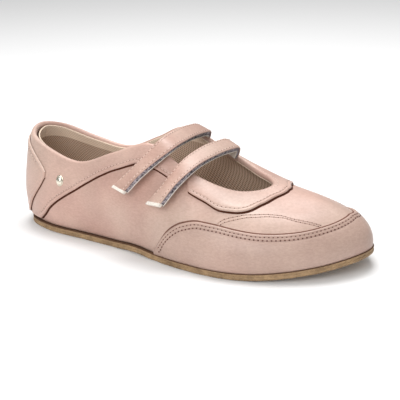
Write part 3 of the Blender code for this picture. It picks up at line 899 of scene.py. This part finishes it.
# Sole


def across_sole(outset, share, stations):
    """Points across the sole from the lateral outline to the medial one, at each of some stations."""
    outer, _ = feather_line(stations, np.full_like(stations, outset))
    inner, _ = feather_line(STATIONS - stations, np.full_like(stations, outset))
    return outer * (1 - share)[:, None] + inner * share[:, None]


def flat_sheet(name, columns, rows, outset, height):
    """A sheet across the sole whose border is the outline, at a height that may vary across it."""

    def place(across, up):
        points = across_sole(outset, up, across * TOE)
        points[:, 2] = height(points, across, up)
        return points + OFFSET

    return lay_grid(name, columns, rows, place, (0.25, 0.09))


def notch(station):
    """The cut edge's fine unevenness: small notches along the lower rim, at uneven spacing."""
    values, _ = feather_line(station)
    run = values[:, 0] + values[:, 1] * 0.35
    fine = np.abs(np.sin(run * 1750)) ** 3 * 0.6 + np.abs(np.sin(run * 1130 + 1.3)) ** 4 * 0.4
    return fine + 0.35 * np.sin(run * 430) * np.sin(run * 97)


def make_outsole():
    """The gum sole: a notched rim round its edge, with a sheet above and one below."""
    columns = 900
    profile = (
        # inset from the margin, down as a share of the thickness, notch depth outwards, notch depth upwards
        (0.0012, 0.00, 0.0, 0.0),
        (0.0004, 0.00, 0.0, 0.0),
        (0.0000, 0.10, 0.0, 0.0),
        (0.0000, 0.30, 0.00005, 0.0),
        (0.0003, 0.42, 0.0, 0.0),
        (0.0003, 0.50, 0.0, 0.0),
        (-0.0001, 0.58, 0.00012, 0.0),
        (-0.0001, 0.78, 0.00022, 0.0),
        (0.0001, 0.92, 0.00030, 0.00015),
        (0.0006, 1.00, 0.0, 0.00020),
        (0.0016, 1.00, 0.0, 0.0),
    )

    def place(across, up):
        station = across * STATIONS
        row = np.rint(up * (len(profile) - 1)).astype(int)
        inset, down, out_cut, up_cut = np.array(profile)[len(profile) - 1 - row].T
        cut = np.where(out_cut + up_cut > 0, notch(station), 0.0)
        points, _ = feather_line(station, SOLE_MARGIN - inset - out_cut * cut)
        ground = ground_curve(points[:, 0])
        points[:, 2] = ground + SOLE_THICKNESS * (1 - down) + up_cut * np.clip(cut, 0, 1)
        return points + OFFSET

    rim = lay_grid("outsole_gum", columns, len(profile) - 1, place, (0.6, 0.005))
    # The rim's top rows and the top sheet are coloured dark brown as painted shadow at the join with the
    # upper
    two_tone(rim, columns, range(len(profile) - 3, len(profile) - 1), GUM, SOLE_JOIN_SHADOW)
    pieces = [rim]
    for name, rows, inset, height, material in (
        ("sole_top", 8, profile[0][0], SOLE_THICKNESS, SOLE_JOIN_SHADOW),
        ("sole_bottom", 24, profile[-1][0], 0.0, GUM),
    ):
        pieces.append(flat_sheet(
            name, columns // 2, rows, SOLE_MARGIN - inset,
            lambda points, across, up: ground_curve(points[:, 0]) + height,
        ))
        pieces[-1].data.materials.append(material)
    piece = join("outsole_gum", pieces)
    weld(piece, 2e-5)
    return dress(piece, None, "gum_rubber", "outsole")


def make_insole():
    """The padded sock: slightly crowned, and rolled down at its edge."""
    inset = -0.0025

    def crowned(points, across, up):
        middle = np.sin(np.pi * up) ** 0.35 * np.sin(np.pi * np.clip(across, 0.001, 0.999)) ** 0.35
        thickness = SOCK_HEIGHT * (0.55 + 0.45 * middle)
        return ground_curve(points[:, 0]) + SOLE_THICKNESS + 2 * SEAT_GAP + thickness

    top = flat_sheet("insole_sock", 160, 40, inset, crowned)
    thicken(top, SOCK_CLOTH)
    return dress(top, SOCK, "lining", "insole")


# Straps


def topline_axes(station):
    """At the topline: the directions out of the wall, out of its rim, and up, all square to the topline."""
    along, _, outward = (axis[0] for axis in wall_axes(np.array([station]), np.ones(1)))
    return outward, np.cross(outward, along), unit(UP - along * along[2])


def strap_frames(route):
    """The strap's middle line with its run, side and top directions, rolled off the lateral wall."""
    rows = []
    for station, rise, lift in route["lateral"]:
        station, rise = np.array([station]), np.array([rise])
        middle = skin(station, rise, np.array([lift * STRAP_WIDTH]), creased=False)[0]
        rows.append((*middle, *wall_axes(station, rise)[2][0]))
    near, far = (wall_point(np.array([station]), np.ones(1))[0] + OFFSET for station in route["crossings"])
    near_axes, far_axes = (topline_axes(station) for station in route["crossings"])
    seam = far + far_axes[1] * (STRAP_THICKNESS / 2 + STRAP_END_GAP)
    reach = unit((far - near) * np.array([1.0, 1.0, 0.0]))
    near_tilt = unit(near_axes[0] + near_axes[2])
    start = near + near_tilt * route["lies"]
    stop = seam + far_axes[2] * route["stands"] - reach * STRAP_BEND
    for share in (0.0, 0.25, 0.5, 0.75, 1.0):
        middle = start * (1 - share) + stop * share + UP * STRAP_ARCH * 4 * share * (1 - share)
        rows.append((*middle, *unit(near_tilt * (1 - share) + far_axes[2] * share)))
    down = far_axes[2] * STRAP_BEND
    rows.append((*(stop + reach * STRAP_BEND * 0.7 - down * 0.3), *(far_axes[2] + reach)))
    rows.append((*(stop + reach * STRAP_BEND - down), *reach))
    rows.append((*(seam - far_axes[2] * STRAP_END_DEPTH), *reach))
    values = smooth_path(rows, STRAP_STEPS)
    middle, facing = values[:, :3], values[:, 3:]
    along = unit(np.gradient(middle, axis=0))
    side = unit(np.cross(facing, along))
    top = np.cross(along, side)
    share = np.linspace(0, 1, STRAP_STEPS)[:, None]
    unroll = STRAP_END_UNROLL * np.exp(-((share / UNROLL_FADE) ** 2))
    roll = STRAP_ROLL * (np.clip(1 - share / STRAP_ROLL_ENDS, 0, 1) - unroll)
    return middle, along, side * np.cos(roll) - top * np.sin(roll), top * np.cos(roll) + side * np.sin(roll)


def sweep(name, frames, section, around, first, last, steps, tip, fade):
    """A closed body along a strap, from one share of its length to another, closed at both tips.

    section(turn) gives its outline. Its lateral end is cut on a slant, which fades away along the strap.
    """
    count = len(frames[0])
    length = run_length(frames[0])[-1] * (last - first)
    core = np.mean(section(np.linspace(0, 2 * np.pi, 33)[:-1])[1])

    def place(across, up):
        eased = ease(across, 0.85)
        at = (first + (last - first) * eased) * (count - 1)
        m, a, s, t = between(at, *frames)
        wide, high = section(up * 2 * np.pi)
        near = np.minimum(eased, 1 - eased) * length
        close = rounded(near, tip)
        wide = wide * np.where(near < 1e-7, 0.0, 0.94 + 0.06 * close)
        slant = STRAP_END_SLANT * np.exp(-at / (fade * count))
        m = m - a * (wide * slant)[:, None]
        return m + s * wide[:, None] + t * (core + (high - core) * close)[:, None]

    piece = lay_grid(name, steps, around, place, STRAP_CLOTH)
    weld(piece, 2e-6)
    return piece


def pillow_section(half_width, bottom, top, corner, crown=0.0, wedge=0.0, slanted=False):
    """A rounded bar with a crowned top. A wedge lowers its toe side: the underside, or all if slanted."""

    def section(turn):
        c, s = np.cos(turn), np.sin(turn)
        wide = np.sign(c) * np.abs(c) ** 0.28 * half_width
        share = np.sign(s) * np.abs(s) ** corner
        middle, half = (top + bottom) / 2, (top - bottom) / 2
        swell = crown * (1 - (wide / half_width) ** 2)
        drop = wedge * (1 - wide / half_width) / 2
        return wide, middle + share * half + np.where(share > 0, swell - drop * slanted, -drop)

    return section


def end_frames(frames):
    """Straight frames round the strap's lateral end, for its cream binding."""
    middle, along, side, top = (grid[0] for grid in frames)
    run = np.linspace(-0.65, 0.35, 12)[:, None] * TAB_LENGTH
    return (middle + along * run, *(np.repeat(axis[None], 12, axis=0) for axis in (along, side, top)))


def make_strap(name, route):
    """Satin over a thick loop tape on a pale backing, with a cream binding round its lateral end."""
    frames = strap_frames(route)
    half, thick = STRAP_WIDTH / 2, STRAP_THICKNESS / 2
    satin = pillow_section(half, 0.15 * MM, thick, 0.6, 0.2 * MM)
    loops = pillow_section(half - 0.25 * MM, -0.85 * MM, 0.25 * MM, 0.5, 0.0, TAPE_WEDGE)
    backing = pillow_section(half - 0.1 * MM, -1.2 * MM, -0.7 * MM, 0.4, 0.0, TAPE_WEDGE, True)
    tab = pillow_section(half + 0.35 * MM, -0.9 * MM, thick + 0.15 * MM, 0.4, 0.0, 0.5 * TAPE_WEDGE)
    for layer, material, slot, *shape, tip, fade in (
        # layer, material, slot, then frames, section, around, first, last, steps, tip in mm, fade
        ("satin", SATIN_STRAP, "satin", frames, satin, 28, 0.0, 1.0, STRAP_STEPS, 0.9, SLANT_FADE),
        ("loops", LOOP_TAPE, "lining", frames, loops, 22, 0.004, 0.97, STRAP_STEPS, 0.5, SLANT_FADE),
        ("backing", END_TAPE, "lining", frames, backing, 16, 0.0, 0.97, STRAP_STEPS, 0.3, SLANT_FADE),
        ("end", END_TAPE, "satin", end_frames(frames), tab, 40, 0.0, 1.0, 20, 0.3, NO_FADE),
    ):
        dress(sweep(f"{name}_{layer}", *shape, tip * MM, fade), material, slot, name)
    return frames


# Stitches


def thread_shape():
    choose(None)
    bpy.ops.mesh.primitive_uv_sphere_add(segments=6, ring_count=4, radius=1)
    bead = bpy.context.object
    points = np.array([v.co for v in bead.data.vertices])
    faces = [tuple(f.vertices) for f in bead.data.polygons]
    bpy.data.objects.remove(bead)
    return points[:, [2, 0, 1]], faces


THREAD_BEAD = thread_shape()


def spaced(points, normals, pitch):
    """Even steps along a line: middles, directions and normals."""
    length = run_length(points)
    count = max(2, int(length[-1] / pitch))
    places = (np.arange(count) + 0.5) * length[-1] / count

    def read(rows, at):
        return np.stack([np.interp(at, length, rows[:, k]) for k in range(3)], -1)

    middle = read(points, places)
    along = unit(read(points, places + pitch * 0.3) - read(points, places - pitch * 0.3))
    return middle, along, unit(read(normals, places))


def wall_line(station, rise, lift):
    """A line on the last, ready to be sewn."""
    points = skin(station, rise, np.full_like(rise, lift))
    return points, wall_axes(station, rise)[2]


def edge_line(edge, first, last, inset, lift):
    station = np.linspace(first, last, 400)
    return wall_line(station, edge(station) + inset / edge_rate(edge, station), lift)


def stamp(name, lines, sizes, rise, pitch, shift, material):
    """One small bead for each stitch of some lines, shifted by a share of the pitch, joined in one mesh."""
    points, faces = THREAD_BEAD
    all_points, all_faces = [], []
    for line in lines:
        middle, along, normal = spaced(*line, pitch)
        side = unit(np.cross(normal, along))
        normal = np.cross(along, side)
        middle = middle + along * (shift * pitch) + normal * rise
        for m, a, s, n in zip(middle, along, side, normal):
            start = len(all_points) * len(points)
            all_points.append(m + points @ (np.array([a, s, n]) * np.array(sizes)[:, None]))
            all_faces += [tuple(start + k for k in face) for face in faces]
    mesh = bpy.data.meshes.new(name)
    mesh.from_pydata(np.concatenate(all_points).tolist(), [], all_faces)
    return dress(add_object(name, mesh), material, "satin")


def sew(name, lines, hole, thread=THREAD_PINK, pitch=STITCH_PITCH, length=STITCH_LENGTH):
    """A seam: its stitches, and a dark dot of painted shade for the needle hole between each two."""
    size = (length / 2, THREAD, THREAD)
    stamp(name + "_thread", lines, size, THREAD_RISE, pitch, 0.0, thread)
    dot = (NEEDLE_HOLE * 1.2 * hole, NEEDLE_HOLE * hole, HOLE_HEIGHT)
    stamp(name + "_holes", lines, dot, HOLE_RISE, pitch, 0.5, NEEDLE_HOLE_SHADE)


def strap_lines(frames):
    """Two rows along the strap."""
    middle, _, side, top = frames
    height = STRAP_THICKNESS / 2 + 0.00010
    inset = STRAP_WIDTH / 2 - 0.0013
    rows = slice(5, len(middle) - 6)
    return [((middle + side * inset * way + top * height)[rows], top[rows]) for way in (-1, 1)]


def make_stud():
    """A plain oval dome on a thin washer."""
    station, rise = np.array([STUD_PLACE[0]]), np.array([STUD_PLACE[1]])
    normal = Vector(wall_axes(station, rise)[2][0])
    seat = Vector(skin(station, rise, np.array([OVERLAY_LIFT]))[0])
    turn = normal.to_track_quat("Z", "Y").to_matrix().to_4x4()
    choose(None)
    bpy.ops.mesh.primitive_uv_sphere_add(segments=40, ring_count=20, radius=0.0026)
    dome = bpy.context.object
    for v in dome.data.vertices:
        v.co.y *= 1.22
        v.co.z = max(v.co.z, -0.0002) * 0.72
    choose(None)
    bpy.ops.mesh.primitive_torus_add(
        major_segments=40, minor_segments=10, major_radius=0.0027, minor_radius=0.00032
    )
    washer = bpy.context.object
    for v in washer.data.vertices:
        v.co.y *= 1.2
    stud = join("stud_dome", [dome, washer])
    stud.data.transform(Matrix.Translation(seat) @ turn)
    return dress(stud, STUD_METAL, "stud_metal", "stud")


# Studio


def make_studio():
    choose(None)
    bpy.ops.mesh.primitive_plane_add(size=6, location=(0, 0, -0.0001))
    floor = bpy.context.object
    floor.name = "studio_floor"
    material, _, shader = new_material("studio_floor", (0.76, 0.76, 0.76), 0.9)
    shader.inputs["Emission Color"].default_value = (1, 1, 1, 1)
    shader.inputs["Emission Strength"].default_value = TABLE_GLOW
    floor.data.materials.append(material)
    world = bpy.data.worlds.new("studio")
    bpy.context.scene.world = world
    world.use_nodes = True
    tree = world.node_tree
    backdrop = tree.nodes["Background"]
    direction = add_node(tree, "ShaderNodeTexCoord").outputs["Generated"]
    height = add_node(tree, "ShaderNodeSeparateXYZ", Vector=direction).outputs["Z"]
    tone = ramp(tree, height, (0.0, (0.25, 0.25, 0.25)), (0.35, (0.45, 0.45, 0.45)), (0.8, (1.0, 1.0, 1.0)))
    tree.links.new(tone, backdrop.inputs["Color"])
    backdrop.inputs["Strength"].default_value = WORLD_STRENGTH
    for name, place, width, height, watts in STUDIO_LIGHTS:
        lamp = bpy.data.lights.new(name, "AREA")
        lamp.shape = "RECTANGLE"
        lamp.size, lamp.size_y, lamp.energy = width, height, watts
        holder = add_object(name, lamp)
        holder.location = place
        holder.rotation_euler = (-Vector(place)).to_track_quat("-Z", "Y").to_euler()
    bpy.context.scene.view_settings.view_transform = "Standard"


def make_camera():
    a, e, r = CAMERA_AZIMUTH, CAMERA_ELEVATION, CAMERA_ROLL
    right = Vector((math.cos(a), math.sin(a), 0))
    back = Vector((math.sin(a) * math.cos(e), -math.cos(a) * math.cos(e), math.sin(e)))
    up = back.cross(right)
    x_axis = right * math.cos(r) - up * math.sin(r)
    y_axis = right * math.sin(r) + up * math.cos(r)
    place = Vector(CAMERA_AIM) + Vector(OFFSET) + back * CAMERA_DISTANCE
    lens = bpy.data.cameras.new("camera")
    lens.lens = CAMERA_LENS
    lens.sensor_width = 36
    camera = add_object("camera", lens)
    turn = Matrix((x_axis, y_axis, back)).transposed().to_4x4()
    camera.matrix_world = Matrix.Translation(place) @ turn
    bpy.context.scene.camera = camera


def sew_seams():
    """The rows of stitches on the panels."""
    lift = OVERLAY_LIFT - 0.0001
    first, last = TOE - GUARD_SEAM_END, TOE + GUARD_SEAM_END
    sew("guard_seam", [
        edge_line(guard_edge, first, last, -inset, lift) for inset in GUARD_ROWS
    ], 1.5, THREAD_SHADE)
    first, last = QUARTER_SEAM_START, TOE - COLLAR_END - 0.1
    sew("quarter_seam", [
        edge_line(collar_edge, first, last, SEAM_INSET, lift),
        edge_line(collar_edge, STATIONS - last, STATIONS - first, SEAM_INSET, lift),
    ], 0.5)
    first, last = TOE - THROAT_END + 0.1, TOE + THROAT_END - 0.1
    sew("throat_seam", [edge_line(collar_edge, first, last, SEAM_INSET, lift)], 0.7)
    sew("throat_top_seam", [edge_line(np.ones_like, first, last, -TOP_SEAM_INSET, lift)], 0.6)
    station = np.linspace(*COUNTER_SEAM_ENDS, 60)
    rise = counter_high(station) - COUNTER_SEAM_DROP
    sew("counter_seam", [wall_line(side * station, rise, COUNTER_LIFT) for side in (-1, 1)], 0.5)
    station = np.linspace(VAMP_ARC[0][0], VAMP_ARC[-1][0], 200)
    rise = table_curve(VAMP_ARC, station)
    for side, place in (("lateral", station), ("medial", STATIONS - station)):
        lines = [wall_line(place, rise - k * VAMP_ROW_STEP, 0.0) for k in (0, 1)]
        sew(f"vamp_{side}_seam", lines, 1.0, THREAD_SHADE)


def make_shoe():
    make_camera()
    make_upper()
    make_lining()
    make_toe_guard()
    make_band("quarter_band_satin", collar_edge, COLLAR_END - TOE, TOE - COLLAR_END, 420, "quarter_band")
    make_band("throat_band_satin", collar_edge, TOE - THROAT_END, TOE + THROAT_END, 300, "throat_band")
    make_heel_counter()
    make_outsole()
    make_insole()
    make_stud()
    counter_outline()
    sew_seams()
    for name, route in STRAP_ROUTES.items():
        lines = strap_lines(make_strap(name, route))
        sew(name + "_seam", lines, 0.6, pitch=STRAP_PITCH, length=STRAP_STITCH)
    make_studio()


make_shoe()
